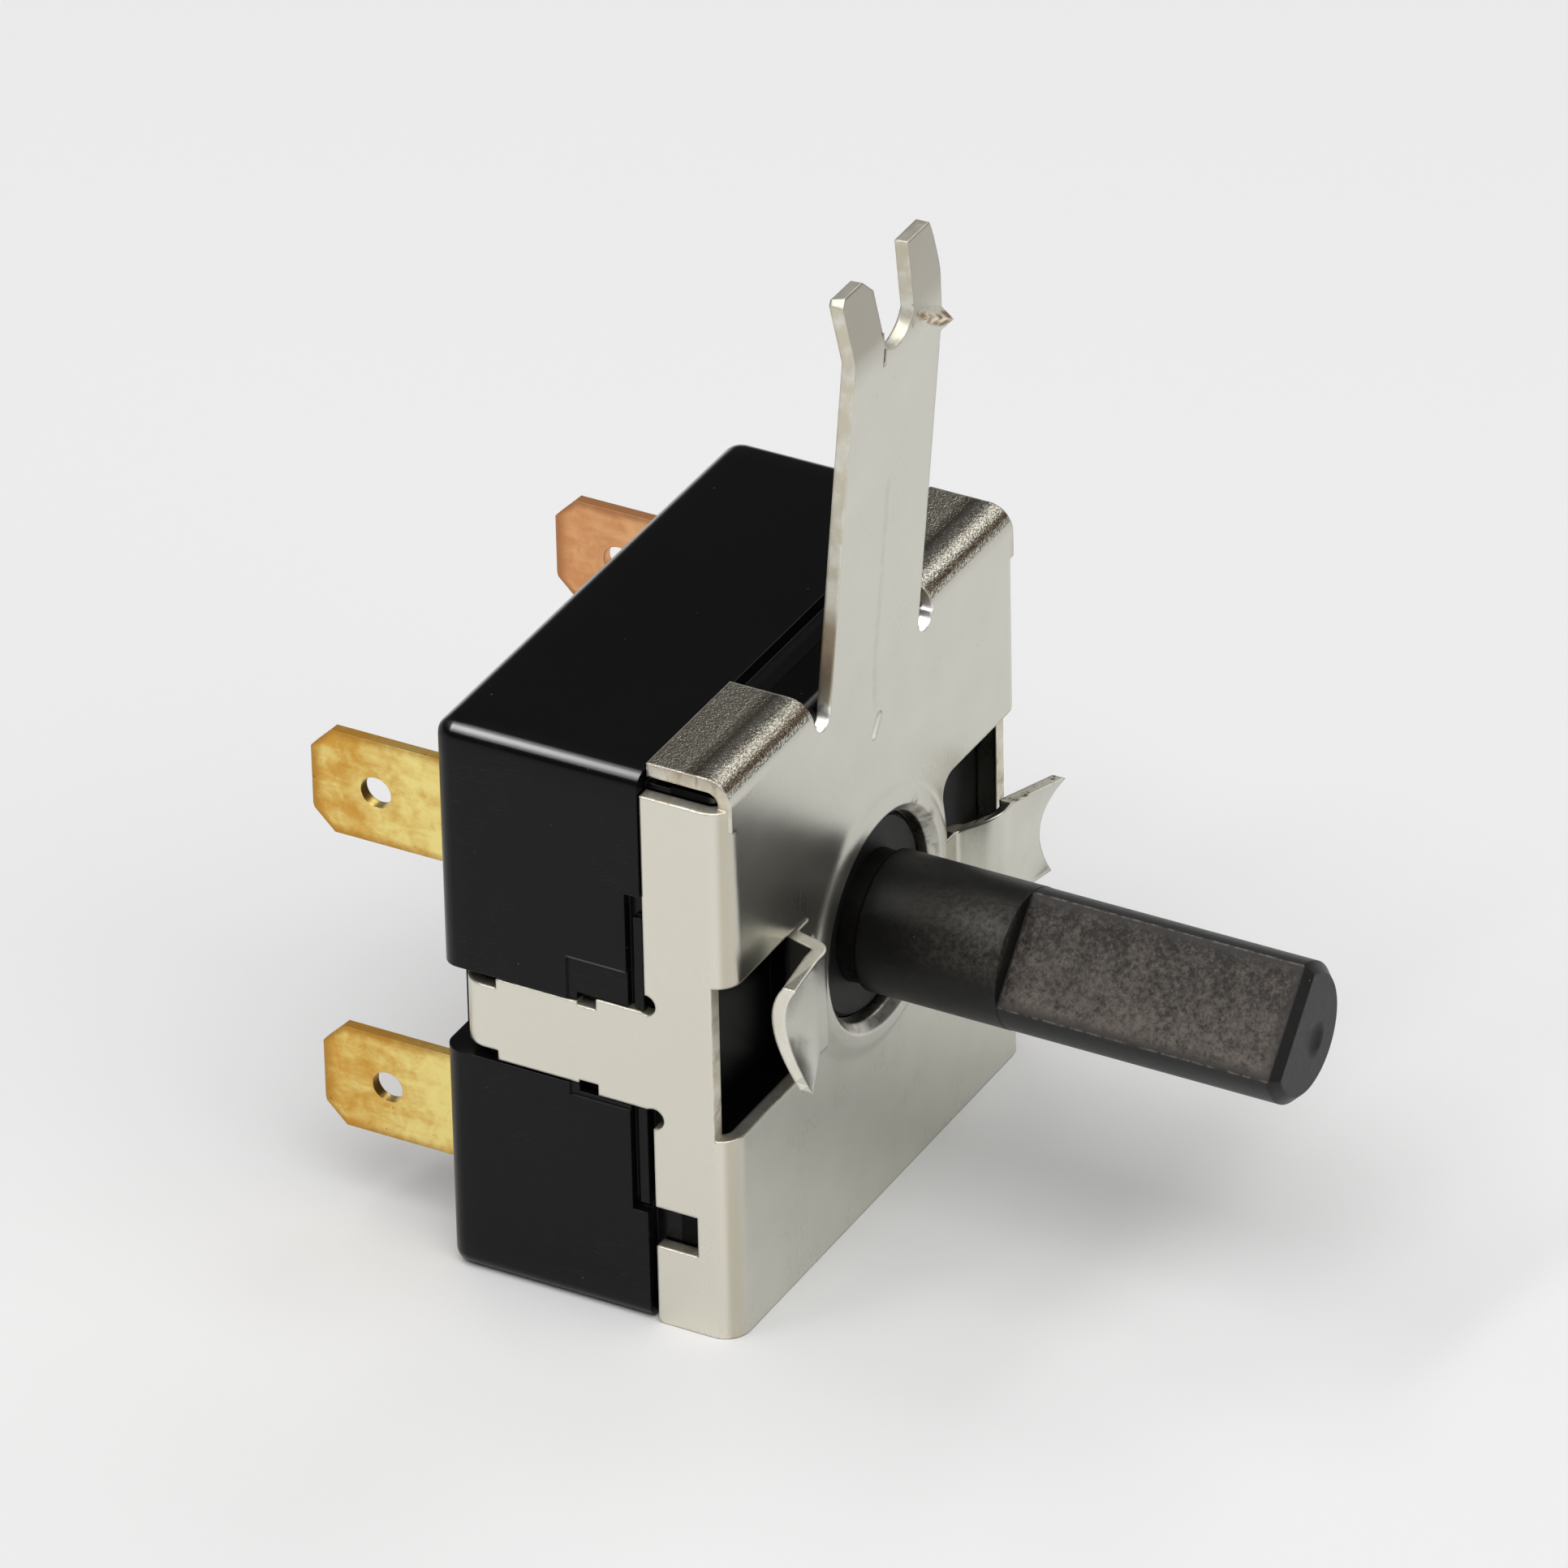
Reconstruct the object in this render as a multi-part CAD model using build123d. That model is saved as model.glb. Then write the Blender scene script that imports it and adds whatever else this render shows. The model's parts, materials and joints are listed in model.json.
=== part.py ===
"""Rotary switch in a twist-lock steel bracket, in millimetres.

The frame: the origin is on the shaft's axis at the front face of the bracket's plate,
+X to the right seen from the front, +Y to the back (the shaft points to -Y), +Z up.
Angles in the X-Z plane are counted from +X towards +Z.
"""
from build123d import *
from math import cos, sin, tan, pi, radians, hypot
import os

os.makedirs("parts", exist_ok=True)

# ---------------------------------------------------------------- bracket (bent sheet steel)
sheet = 0.6                 # thickness of the bracket's sheet
bend_inside = 0.5           # inside radius of the main bends
bracket_width = 25.0
top_rise, base_drop = 0.4, 0.8   # above and below the axis it reaches this much beyond half its width
flange_drop = 1.25          # upper edge of the side flanges, below the top flanges' upper face
flange_depth = 3.85         # rear edge of the side flanges above the arms
flange_depth_low = 3.6      # rear edge below the arms
flange_corner = 0.25        # rounding of the lower rear corners
notch_low, notch_high, notch_depth = -9.6, -7.7, 1.7
relief_radius, relief_inset = 0.48, 0.4   # round relief holes in the arms' roots

arm_low, arm_high = -3.1, 1.45        # the arm beside the flange
arm_step_y = 6.1                      # from here back the arm is narrower
arm_step = 0.35
arm_nick, arm_nick_depth = 0.9, 0.15   # small nicks where the arm gets narrower
arm_end_y = 12.45                     # rear face of the claws
claw_step = 0.45
claw_start_y = 10.7
claw_reach = 1.9                      # how far a claw wraps over the case's back

top_flange_inner, top_flange_inset = 5.05, 0.55   # their outer ends lie inside the bracket's sides
top_flange_depth = 3.8

tongue_width = 7.45
tongue_lean = 5.0           # degrees forward
tongue_root_drop = 1.1      # its bend, below the top flanges' upper face
slot_width, slot_drop = 1.2, 1.65     # relief slots beside the tongue
fork_left, fork_right, fork_bottom = -1.35, 1.15, 27.1
slit_x, slit_width, slit_length = -1.1, 0.25, 0.8
left_ear_bend_z, left_ear_top, left_ear_back = 28.1, 30.8, 12.0
left_ear_inner, left_ear_outer = 0.65, 0.3        # corner sizes
right_ear_top, right_ear_back = 31.1, 1.2         # its top leans back to this far ahead of the plate
right_ear_taper_x, right_ear_taper_z = 2.95, 28.3
right_ear_bulge_x, right_ear_bulge_z = 3.5, 29.5       # its outer edge is bowed through here
ledge_inner_z, ledge_outer_z = 27.9, 26.45        # the ledge slants down and outward
ledge_inner, ledge_outer = 0.25, 0.6              # how far it stands ahead of the tongue
ledge_rise = 0.45
pip_x, pip_z, pip_length, pip_width, pip_tilt = 0.1, 9.05, 1.2, 0.45, 35.0
pip_depth = 0.3

hole_radius = 4.45          # shaft hole in the plate
collar_radius, collar_height = 6.1, 0.3
collar_crest_inner, collar_crest_outer = 0.4, 0.8    # both outside the hole's radius

window_inner, window_high, window_low = 5.6, 3.45, -3.8  # windows left by the lanced hooks
window_corner = 0.9
window_side_depth = 0.85              # how far a window runs into the side flange
hook_root_x, hook_lean = 6.75, 0.45   # the right hook's wall, and how far it leans outward
hook_low, hook_high = -3.2, 0.3       # the hook's root
hook_top = 1.3                        # its upper edge out on the wing
hook_standoff = 1.75                  # front face of the hook ahead of the plate
hook_flat_x, hook_tip_x = 8.3, 10.9
hook_bend = 0.2             # inside radius of the hook's bends
tip_foot_z, tip_dip_z, tip_mid_z, tip_head_z = -3.3, -1.8, -0.5, 1.35
tip_foot, tip_dip, tip_mid, tip_head = 2.15, 1.62, 1.85, 2.85   # how far the tip stands forward there

# ---------------------------------------------------------------- case and cover (moulded)
case_proud = 0.05           # the case stands this much outside the bracket's arms
case_drop = 0.4             # top of the case, below the top flanges' upper face
case_back = 13.3
case_shoulder = 3.95        # the case is rebated under the flanges in front of this
case_edge, case_back_edge = 0.65, 0.85
case_side, case_roof, case_sole = 1.0, 1.4, 1.2     # walls around the cavity
floor_y = 10.9
fit = 0.1                   # gap between parts that are laid together
cover_back = 2.8
window_pocket_depth = 1.2
bearing_boss = 5.9
groove_back, groove_depth = 4.65, 0.45    # recess in the case's side, behind the flange
groove_high, groove_low = 6.9, -8.1
rib_back, rib_depth = 4.35, 0.15          # rib in that recess, and how far it lies under the case's side
rib_high, rib_low = 5.8, -7.75
pad_back, pad_high, pad_low, pad_depth = 7.4, 3.15, -3.42, 0.1    # shallow recess around the arm

# ---------------------------------------------------------------- shaft and rotor
shaft_radius = 3.0
shaft_front = 19.4          # tip of the shaft ahead of the plate
shaft_shoulder, shaft_step = 0.45, 0.2    # inside the hub the shaft is a little thinner
flat_front = 6.86           # the flat starts here and runs to the tip
flat_height = 1.7           # of the flat above the axis
flat_relief = 0.02          # the shaft is this much thinner along the flat
flat_angle = 48.0           # the flat's normal, from +Z towards -X
tip_chamfer = 0.4
running = 0.05              # radial gap of what turns
journal_radius, journal_back = 1.5, 12.1
hub_radius, hub_front = 4.3, 0.45
rotor_front, rotor_back = 3.2, 8.3
key_front = 4.2             # the rotor grips the shaft's flat from here back

index_step, index_offset = 45.0, 22.5
turn_range = 135.0
ring_wall, ring_back = 0.9, 8.4           # the index ring's thinnest wall, and its rear face
ring_gap = 0.6              # between the rotor and the index ring
ball_radius, ball_seat = 1.2, 0.45        # a ball's centre lies this far inside its notch's
detent_y = 5.9
detent_bore, detent_bore_end = 1.25, 4.6
notch_radius, notch_inset = 1.3, 0.9      # the notches' centres lie this far inside the ring's bore
stop_circle, stop_radius, stop_length, stop_angle = 7.4, 0.8, 1.3, 250.0

contact_inset = 1.1         # the rivets' circle lies this far inside the wiper's rim
wiper_front, wiper_sheet = 8.95, 0.5
wiper_inset = 0.2           # the wiper's rim lies this far inside the rotor's
wiper_web = 0.3             # between its lobes the rim lies this far outside the drive holes
drive_circle, drive_radius, drive_length = 5.8, 0.8, 1.0
contact_gap = 0.05
rivet_head, rivet_shank = 1.3, 0.6

tab_width, tab_sheet = 4.8, 0.5
tab_inset = 0.6             # outer face of the tabs, from the cavity's wall
tab_tip = 20.3
tab_chamfer, tab_bevel = 1.05, 0.12
tab_hole_radius, tab_hole_from_tip = 0.7, 3.03
tab_high_drop, tab_low_rise = 5.68, 6.0   # the tabs' middles, from the case's top and underside
leg_end, leg_pad, leg_bend = 4.4, 1.9, 0.25
peg_inset, peg_radius = 1.8, 0.5

washer_radius, washer_play = 6.2, 0.15
clip_radius, clip_mouth = 3.4, 1.8
contact_coil, contact_wire, contact_turns = 4.35, 0.2, 2
spring_seat_width, spring_seat_depth = 1.1, 0.9
detent_coil, detent_wire, detent_turns = 0.85, 0.16, 4
through = 8.0               # how far a cutter reaches ahead of and behind what it cuts

# ---------------------------------------------------------------- what follows from these
half_bracket = bracket_width / 2
bend_outside = bend_inside + sheet
plate_top = half_bracket + top_rise
base_z = -half_bracket - base_drop
flange_top = plate_top - flange_drop
tongue_root_z = plate_top - tongue_root_drop
slot_bottom = plate_top - slot_drop
case_top = plate_top - case_drop
top_flange_outer = half_bracket - top_flange_inset
half_case = half_bracket + case_proud
cavity_half_width = half_bracket - sheet - case_side
cavity_high, cavity_low = case_top - case_roof, base_z + case_sole
ring_radius = cavity_half_width - fit - ring_wall
rotor_radius = ring_radius - ring_gap
notch_centre = ring_radius - notch_inset
ball_centre = notch_centre - ball_seat
wiper_radius = rotor_radius - wiper_inset
contact_circle = wiper_radius - contact_inset
wiper_disc = drive_circle + drive_radius + wiper_web
tab_x = cavity_half_width - tab_inset
tab_high_z, tab_low_z = case_top - tab_high_drop, base_z + tab_low_rise
peg_x = tab_x - peg_inset
neck_radius = shaft_radius - shaft_step


# ---------------------------------------------------------------- helpers
def block(x0, x1, y0, y1, z0, z1):
    """A box between two corners."""
    return Pos((x0 + x1) / 2, (y0 + y1) / 2, (z0 + z1) / 2) * Box(abs(x1 - x0), abs(y1 - y0), abs(z1 - z0))


def rod(radius, y0, y1, x=0.0, z=0.0):
    """A cylinder along Y."""
    along = (Align.CENTER, Align.CENTER, Align.MIN)
    return Pos(x, y0, z) * Rot(-90, 0, 0) * Cylinder(radius, y1 - y0, align=along)


def ring(inner, outer, y0, y1):
    return rod(outer, y0, y1) - rod(inner, y0 - 1, y1 + 1)


def cross_rod(radius, x0, x1, y, z):
    """A cylinder along X."""
    along = (Align.CENTER, Align.CENTER, Align.MIN)
    return Pos(x0, y, z) * Rot(0, 90, 0) * Cylinder(radius, x1 - x0, align=along)


def along_x(face, x0, x1):
    """Extrude a face drawn in (y, z)."""
    return extrude(Plane.YZ.offset(x0) * face, amount=x1 - x0)


def along_y(face, y0, y1):
    """Extrude a face drawn in (x, z)."""
    return extrude(Plane.XZ.offset(-y0) * face, amount=-(y1 - y0))


def along_z(face, z0, z1):
    """Extrude a face drawn in (x, y)."""
    return extrude(Plane.XY.offset(z0) * face, amount=z1 - z0)


def mirrored(part):
    return part + part.mirror(Plane.YZ)


def at_angle(part, degrees_from_x):
    """Turn a part about the shaft's axis, from +X towards +Z."""
    return Rot(0, -degrees_from_x, 0) * part


def folded_strip(path, thickness, inside=0.0):
    """The edge view of a folded sheet: a path along one face, offset to its left by the thickness.

    A negative thickness lies to the right. Every fold has the same inside radius, or is sharp.
    """
    offset_points, path_radii, offset_radii = [], [], []
    for i, (x, y) in enumerate(path):
        ahead = path[min(i + 1, len(path) - 1)]
        behind = path[max(i - 1, 0)]
        normals = []
        for (ax, ay), (bx, by) in ((behind, (x, y)), ((x, y), ahead)):
            length = hypot(bx - ax, by - ay)
            if length > 0:
                normals.append((-(by - ay) / length, (bx - ax) / length))
        nx, ny = sum(n[0] for n in normals), sum(n[1] for n in normals)
        scale = thickness * len(normals) / (nx * nx + ny * ny)
        offset_points.append((x + nx * scale, y + ny * scale))
        if 0 < i < len(path) - 1:
            turn = normals[0][0] * normals[1][1] - normals[0][1] * normals[1][0]
            towards_offset = turn * thickness > 0
            path_radii.append(inside + abs(thickness) if towards_offset else inside)
            offset_radii.append(inside if towards_offset else inside + abs(thickness))
    if inside == 0:
        return make_face(Polyline(*path, *reversed(offset_points), close=True))
    near = FilletPolyline(*path, radius=path_radii)
    far = FilletPolyline(*offset_points, radius=offset_radii)
    ends = [Line(near @ 0, far @ 0), Line(near @ 1, far @ 1)]
    return make_face([*near.edges(), *far.edges(), *ends])


def pie(radius, start, end):
    """A sector of a circle, in (x, z)."""
    steps = 4
    rim = [start + (end - start) * i / steps for i in range(steps + 1)]
    fan = [(0, 0)] + [(2 * radius * cos(radians(a)), 2 * radius * sin(radians(a))) for a in rim]
    return Circle(radius) & make_face(Polyline(*fan, close=True))


def coil(radius, wire, length, turns):
    """A coil spring of square wire along +Z, from its first wire centre."""
    path = Helix(pitch=length / turns, height=length, radius=radius)
    start = Plane(origin=path @ 0, x_dir=(1, 0, 0), z_dir=path % 0)
    return sweep(start * Rectangle(2 * wire, 2 * wire), path=path, is_frenet=True)


# ---------------------------------------------------------------- bracket
def plate_and_flanges():
    sides = [(-half_bracket, flange_depth), (-half_bracket, 0), (half_bracket, 0),
             (half_bracket, flange_depth)]
    channel = along_z(folded_strip(sides, sheet, bend_inside), base_z, flange_top)
    top_bend_z = plate_top - bend_outside
    upper_plate = block(-top_flange_outer, top_flange_outer, 0, sheet, flange_top - 1, top_bend_z)
    over = [(top_flange_depth, plate_top), (0, plate_top), (0, flange_top - 1)]
    top_flange = along_x(folded_strip(over, sheet, bend_inside), top_flange_inner, top_flange_outer)
    body = channel + upper_plate + mirrored(top_flange)
    inside, outside = half_bracket - 2 * sheet, half_bracket + 1
    behind, below = flange_depth + 1, base_z - 1
    round_y, round_z = flange_depth_low - flange_corner, base_z + flange_corner
    cut = block(inside, outside, flange_depth_low, behind, below, arm_low)
    cut += block(inside, outside, notch_depth, behind, notch_low, notch_high)
    cut += block(inside, outside, round_y, behind, below, round_z) \
        - cross_rod(flange_corner, inside - 1, outside + 1, round_y, round_z)
    tongue_place = block(-tongue_width / 2, tongue_width / 2, -1, sheet + 1, slot_bottom, plate_top)
    return body - mirrored(cut) - tongue_place


def side_arm():
    """The right arm: out of the flange, back along the case and in over its back."""
    path = [(half_bracket, notch_depth), (half_bracket, arm_end_y), (half_bracket - claw_reach, arm_end_y)]
    strip = along_z(folded_strip(path, sheet, bend_inside), arm_low, arm_high)
    narrow_low, narrow_high = arm_low + arm_step, arm_high - arm_step
    outline = Polyline(
        (0, arm_low), (arm_step_y, arm_low), (arm_step_y, narrow_low), (claw_start_y, narrow_low),
        (claw_start_y, narrow_low + claw_step), (arm_end_y + 1, narrow_low + claw_step),
        (arm_end_y + 1, narrow_high - claw_step), (claw_start_y, narrow_high - claw_step),
        (claw_start_y, narrow_high), (arm_step_y, narrow_high), (arm_step_y, arm_high), (0, arm_high),
        close=True)
    arm = strip & along_x(make_face(outline), half_bracket - claw_reach - 1, half_bracket + 1)
    for edge_z in (narrow_low, narrow_high):
        arm -= block(0, half_bracket + 1, arm_step_y, arm_step_y + arm_nick, edge_z - arm_nick_depth,
                     edge_z + arm_nick_depth)
    return arm


def tongue_front(z):
    """Y of the tongue's front face at a height."""
    return -max(z - tongue_root_z, 0) * tan(radians(tongue_lean))


def right_ear_section(x, ledge_z, ledge):
    """The right ear's sheet across X: up the tongue, out over the slanting ledge and back."""
    low = ledge_outer_z - 2 * ledge_rise
    foot = ledge_z - 1.5 * ledge_rise
    path = [(tongue_front(low), low), (tongue_front(foot), foot), (tongue_front(foot) - ledge, ledge_z),
            (tongue_front(ledge_z), ledge_z + ledge_rise), (-right_ear_back, right_ear_top)]
    return (Plane.YZ.offset(x) * folded_strip(path, -sheet)).face()


def tongue():
    """The leaning tongue with its forked end: one ear leans back, the other rises from a slanting ledge."""
    half = tongue_width / 2
    root = [(0, slot_bottom - 1), (0, tongue_root_z)]
    bend = (tongue_front(left_ear_bend_z), left_ear_bend_z)
    back = (left_ear_top - left_ear_bend_z) * tan(radians(left_ear_back))
    left_path = root + [bend, (bend[0] + back, left_ear_top)]
    low = ledge_outer_z - 2 * ledge_rise
    middle_top = fork_bottom + (fork_right - fork_left) / 2
    blade = along_x(folded_strip(root + [(tongue_front(low), low)], -sheet, bend_inside), -half, half)
    middle_path = root + [(tongue_front(middle_top), middle_top)]
    blade += along_x(folded_strip(middle_path, -sheet, bend_inside), fork_left, fork_right)
    blade += along_x(folded_strip(left_path, -sheet, bend_inside), -half, fork_left)
    blade += loft([right_ear_section(fork_right, ledge_inner_z, ledge_inner),
                   right_ear_section(half, ledge_outer_z, ledge_outer)], ruled=True)

    middle = (fork_left + fork_right) / 2
    gap = rod((fork_right - fork_left) / 2, -through, through, middle, middle_top)
    gap += block(slit_x - slit_width / 2, slit_x + slit_width / 2, -through, through,
                 fork_bottom - slit_length / 2, fork_bottom + slit_length)
    above = right_ear_top + 1
    outside = half + 1
    bowed = Spline((half, right_ear_taper_z), (right_ear_bulge_x, right_ear_bulge_z),
                   (right_ear_taper_x, right_ear_top), tangents=((0, 1), (-1, 2)))
    rest = Polyline((right_ear_taper_x, right_ear_top), (right_ear_taper_x, above), (outside, above),
                    (outside, right_ear_taper_z), (half, right_ear_taper_z))
    blade -= gap + along_y(make_face([bowed.edge(), *rest.edges()]), -through, through)
    for x, corner in ((-half, left_ear_outer), (fork_left, left_ear_inner)):
        side = 2 * corner * cos(radians(45))
        blade -= Pos(x, 0, left_ear_top) * Rot(0, 45, 0) * Box(side, 2 * through, side)
    return blade


def hook():
    """The right hook: lanced out of the window, forward and outward, its upper corner flared."""
    path = [(window_inner - 1, 0), (hook_root_x, 0), (hook_root_x + hook_lean, -hook_standoff),
            (hook_flat_x, -hook_standoff)]
    strip = along_z(folded_strip(path, sheet, hook_bend), hook_low, hook_top)
    waste = Polyline((1, hook_high), (0, hook_high), (-hook_standoff, hook_top),
                     (-hook_standoff, hook_top + 1), (1, hook_top + 1), close=True)
    strip -= along_x(make_face(waste), window_inner - 2, hook_flat_x)
    root = Plane.YZ.offset(hook_flat_x) * Pos(sheet / 2 - hook_standoff, (hook_low + hook_top) / 2) \
        * Rectangle(sheet, hook_top - hook_low)
    profile = ((tip_foot_z, tip_foot), (tip_dip_z, tip_dip), (tip_mid_z, tip_mid), (tip_head_z, tip_head))
    near = Spline(*[(-forward, z) for z, forward in profile])
    far = Spline(*[(sheet - forward, z) for z, forward in profile])
    tip = make_face([near.edge(), far.edge(), Line(near @ 0, far @ 0), Line(near @ 1, far @ 1)])
    wing = loft([root.face(), (Plane.YZ.offset(hook_tip_x) * tip).face()], ruled=True)
    return strip + wing


def mounting_bracket():
    body = plate_and_flanges() + tongue()
    inside, crest = hole_radius / 2, hole_radius + collar_crest_outer
    collar_profile = Polyline((inside, sheet), (inside, -collar_height), (crest, -collar_height),
                              (collar_radius, 0), (collar_radius, sheet), close=True)
    body += revolve(make_face(collar_profile), axis=Axis.Y)
    lip, ahead = hole_radius + collar_crest_inner, -collar_height - 1
    mouth = Polyline((0, sheet + 1), (hole_radius, sheet + 1), (hole_radius, sheet / 6),
                     (lip, -collar_height), (lip, ahead), (0, ahead), close=True)
    body -= revolve(make_face(mouth), axis=Axis.Y)

    window = block(window_inner, half_bracket + 1, -1, window_side_depth, window_low, window_high)
    window = fillet(window.edges().filter_by(Axis.Y).group_by(Axis.X)[0], window_corner)
    body -= mirrored(window)
    right_hook = hook()
    body += right_hook + Rot(0, 180, 0) * right_hook

    body += mirrored(side_arm())
    for y, z in ((flange_depth, arm_high + relief_inset), (flange_depth_low, arm_low - relief_inset)):
        body -= cross_rod(relief_radius, -half_bracket - 1, half_bracket + 1, y, z)
    slot_x, round_z = (tongue_width + slot_width) / 2, slot_bottom + slot_width / 2
    inner, outer = tongue_width / 2, tongue_width / 2 + slot_width
    slot = block(inner, outer, -through, sheet + 1, round_z, plate_top + 1)
    slot += rod(slot_width / 2, -through, sheet + 1, slot_x, round_z)
    body -= mirrored(slot)

    pip = Pos(pip_x, 0, pip_z) * Rot(0, pip_tilt, 0) * Rot(90, 0, 0) * SlotOverall(pip_length, pip_width, 90)
    return body - extrude(pip, amount=pip_depth, both=True)


# ---------------------------------------------------------------- case
def housing():
    rear = block(-half_case, half_case, case_shoulder, case_back, base_z, case_top)
    rear = fillet(rear.edges().filter_by(Axis.Z).group_by(Axis.Y)[-1], case_back_edge)
    rear = fillet(rear.edges().filter_by(Axis.Y), case_edge)
    front_half, front_top = half_bracket - sheet - fit, plate_top - sheet - 4 * fit
    front = block(-front_half, front_half, cover_back, case_shoulder + 1, base_z, front_top)
    body = rear + front
    cavity = block(-cavity_half_width, cavity_half_width, cover_back - 1, floor_y, cavity_low, cavity_high)
    body -= fillet(cavity.edges().filter_by(Axis.Y), 0.5)
    body -= rod(journal_radius + running, floor_y - 1, journal_back + fit)

    channel_x = half_bracket - sheet
    outside = half_case + 1
    channel = block(channel_x, outside, case_shoulder - 2, arm_step_y + 0.9, arm_low - fit, arm_high + fit)
    channel += block(channel_x, outside, case_shoulder, case_back + 1, arm_low + arm_step - fit,
                     arm_high - arm_step + fit)
    claw_y = arm_end_y - sheet
    channel += block(half_bracket - claw_reach - 2 * fit, outside, claw_y, case_back + 1,
                     arm_low + arm_step - fit, arm_high - arm_step + fit)
    channel += block(channel_x - bend_inside, outside, claw_y - bend_inside, case_back + 1,
                     arm_low + arm_step - fit, arm_high - arm_step + fit)
    body -= mirrored(channel)
    bottom, rib_top = half_case - groove_depth, half_case - rib_depth
    groove = block(bottom, outside, case_shoulder, groove_back, groove_low, groove_high)
    groove -= block(bottom, rib_top, case_shoulder, rib_back, rib_low, rib_high)
    pad = block(half_case - pad_depth, outside, groove_back, pad_back, pad_low, pad_high)
    body -= mirrored(groove + pad)

    for z in (tab_high_z, tab_low_z):
        low, high = z - tab_width / 2 - running, z + tab_width / 2 + running
        outer, inner = tab_x + running, tab_x - tab_sheet
        slot = block(inner - running, outer, floor_y - 1, case_back + 1, low, high)
        slot += block(inner - 2 * leg_bend, outer, floor_y - 1, floor_y + 2 * leg_bend, low, high)
        body -= mirrored(slot)
        body += mirrored(rod(peg_radius, floor_y - tab_sheet - fit, floor_y + fit, peg_x, z))
    return body


def front_cover():
    half = half_bracket - sheet - fit
    body = block(-half, half, sheet, cover_back, base_z + fit, plate_top - sheet - 3 * fit)
    front_edges = body.faces().sort_by(Axis.Y)[0].edges()
    body = fillet(front_edges.sort_by(Axis.Z)[1:], bend_inside + fit)
    pocket = block(window_inner - 2 * fit, half + 1, 0, sheet + window_pocket_depth, window_low - fit,
                   window_high + fit)
    boss = fillet(rod(bearing_boss, sheet, cover_back).edges().sort_by(Axis.Y)[0], 0.5)
    body -= mirrored(pocket)
    body += boss & block(-half, half, sheet, cover_back, window_low - fit, window_high + fit)
    body -= rod(hub_radius + running, 0, cover_back + 1)
    pin_x = stop_circle * cos(radians(stop_angle))
    pin_z = stop_circle * sin(radians(stop_angle))
    return body + rod(stop_radius, cover_back - 0.5, cover_back + stop_length, pin_x, pin_z)


def index_ring():
    body = block(-cavity_half_width + fit, cavity_half_width - fit, cover_back, ring_back,
                 cavity_low + fit, cavity_high - fit)
    body = fillet(body.edges().filter_by(Axis.Y), 0.6)
    body -= rod(ring_radius, cover_back - 1, ring_back + 1)
    for i in range(int(360 / index_step)):
        notch = rod(notch_radius, cover_back - 1, ring_back + 1, notch_centre)
        body -= at_angle(notch, index_offset + i * index_step)
    foot_inner = wiper_radius * 0.96
    for z, up in ((tab_high_z, 1), (tab_low_z, -1)):
        foot = block(foot_inner, cavity_half_width - 0.3, ring_back - 1, floor_y - tab_sheet,
                     z - up * 1.4, z + up * 2.2)
        foot -= rod(peg_radius + 2 * fit, floor_y - 3, floor_y, peg_x, z)
        body += mirrored(foot)
    return body


# ---------------------------------------------------------------- shaft and rotor
def flat_cut(height, y0, y1):
    """What lies beyond the shaft's flat."""
    cut = block(-shaft_radius - 1, shaft_radius + 1, y0, y1, height, shaft_radius + 2)
    return Rot(0, -flat_angle, 0) * cut


def shaft():
    body = rod(shaft_radius - flat_relief, -shaft_front, -flat_front)
    body += rod(shaft_radius, -flat_front, -shaft_shoulder) + rod(neck_radius, -shaft_shoulder, rotor_back)
    body -= flat_cut(flat_height, -shaft_front - 1, -flat_front)
    body = chamfer(body.faces().sort_by(Axis.Y)[0].edges(), tip_chamfer)
    body -= flat_cut(flat_height, key_front, rotor_back + 1)
    body += chamfer(rod(journal_radius, rotor_back, journal_back).edges().sort_by(Axis.Y)[-1], 0.2)
    dimple = Pos(0.5, -shaft_front - 1.7, -0.5) * Sphere(1.9)
    return body - dimple


def rotor():
    body = rod(rotor_radius, rotor_front, rotor_back)
    body += chamfer(rod(hub_radius, hub_front, rotor_front).edges().sort_by(Axis.Y)[0], 0.15)
    bore = rod(neck_radius + running / 2, hub_front - 1, rotor_back + 1)
    bore -= flat_cut(flat_height + running / 2, key_front, rotor_back + 2)
    body -= bore
    for side in (0, 180):
        hole = cross_rod(detent_bore, detent_bore_end, rotor_radius + 1, detent_y, 0)
        body -= at_angle(hole, index_offset + side)
        peg = rod(drive_radius, rotor_back - 1, rotor_back + drive_length, drive_circle)
        body += at_angle(peg, index_offset + 90 + side)
    seat = spring_seat_width / 2
    body -= ring(contact_coil - seat, contact_coil + seat, rotor_back - spring_seat_depth, rotor_back + 1)
    slack = stop_radius + 0.15
    slot = pie(stop_circle + slack, stop_angle, stop_angle + turn_range)
    slot -= Circle(stop_circle - slack)
    ahead, bottom = rotor_front - 1, rotor_front + stop_length
    groove = along_y(slot, ahead, bottom)
    for end in (0, turn_range):
        groove += at_angle(rod(slack, ahead, bottom, stop_circle), stop_angle + end)
    return body - groove


def thrust_washer():
    return ring(hub_radius + washer_play, washer_radius, cover_back + running, rotor_front - 2 * running)


def detent_ball(side):
    return at_angle(Pos(ball_centre, detent_y, 0) * Sphere(ball_radius), index_offset + side)


def detent_spring(side):
    length = ball_centre - ball_radius - detent_bore_end - 2 * detent_wire
    spring = coil(detent_coil, detent_wire, length, detent_turns)
    start = detent_bore_end + detent_wire
    return at_angle(Pos(start, detent_y, 0) * Rot(0, 90, 0) * spring, index_offset + side)


def contact_spring():
    start = rotor_back - spring_seat_depth + contact_wire
    length = wiper_front - contact_wire - start
    return Pos(0, start, 0) * Rot(-90, 0, 0) * coil(contact_coil, contact_wire, length, contact_turns)


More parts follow.
